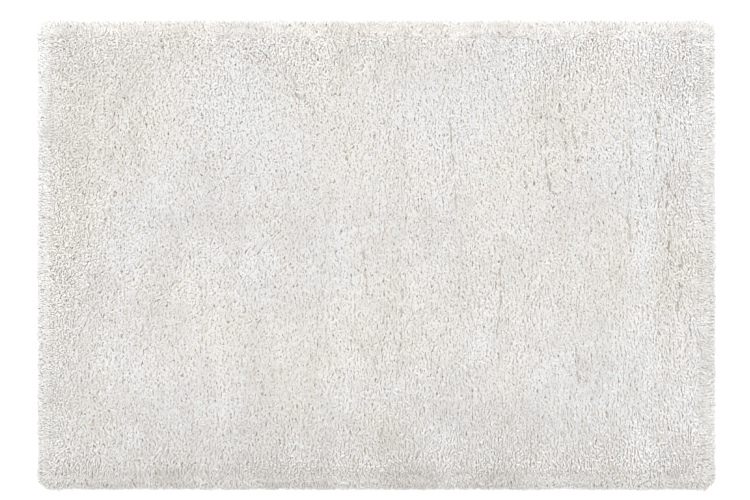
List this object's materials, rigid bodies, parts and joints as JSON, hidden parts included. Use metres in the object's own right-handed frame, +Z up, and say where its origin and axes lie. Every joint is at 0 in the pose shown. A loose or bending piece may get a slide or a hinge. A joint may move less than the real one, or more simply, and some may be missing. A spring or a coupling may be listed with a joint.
{
  "type": "shag rug",
  "caption": "Rectangular deep-pile shag rug lying flat: a lumpy off-white pile with locks drooping over its edge, on a thin woven ground cloth.",
  "frame": {"origin": "on the floor, under the middle of the rug", "axes": "+X along the rug's length, +Y along its width, +Z up out of the pile"},
  "size_m": [2.3097, 1.6008, 0.0491],
  "materials": {
    "ground_cloth": "plain woven cloth, matt",
    "pile_yarn": "long cut pile of soft off-white yarn, matt with a slight sheen"
  },
  "bodies": {
    "root": {"backing": "ground_cloth", "pile": "pile_yarn"}
  },
  "joints": []
}
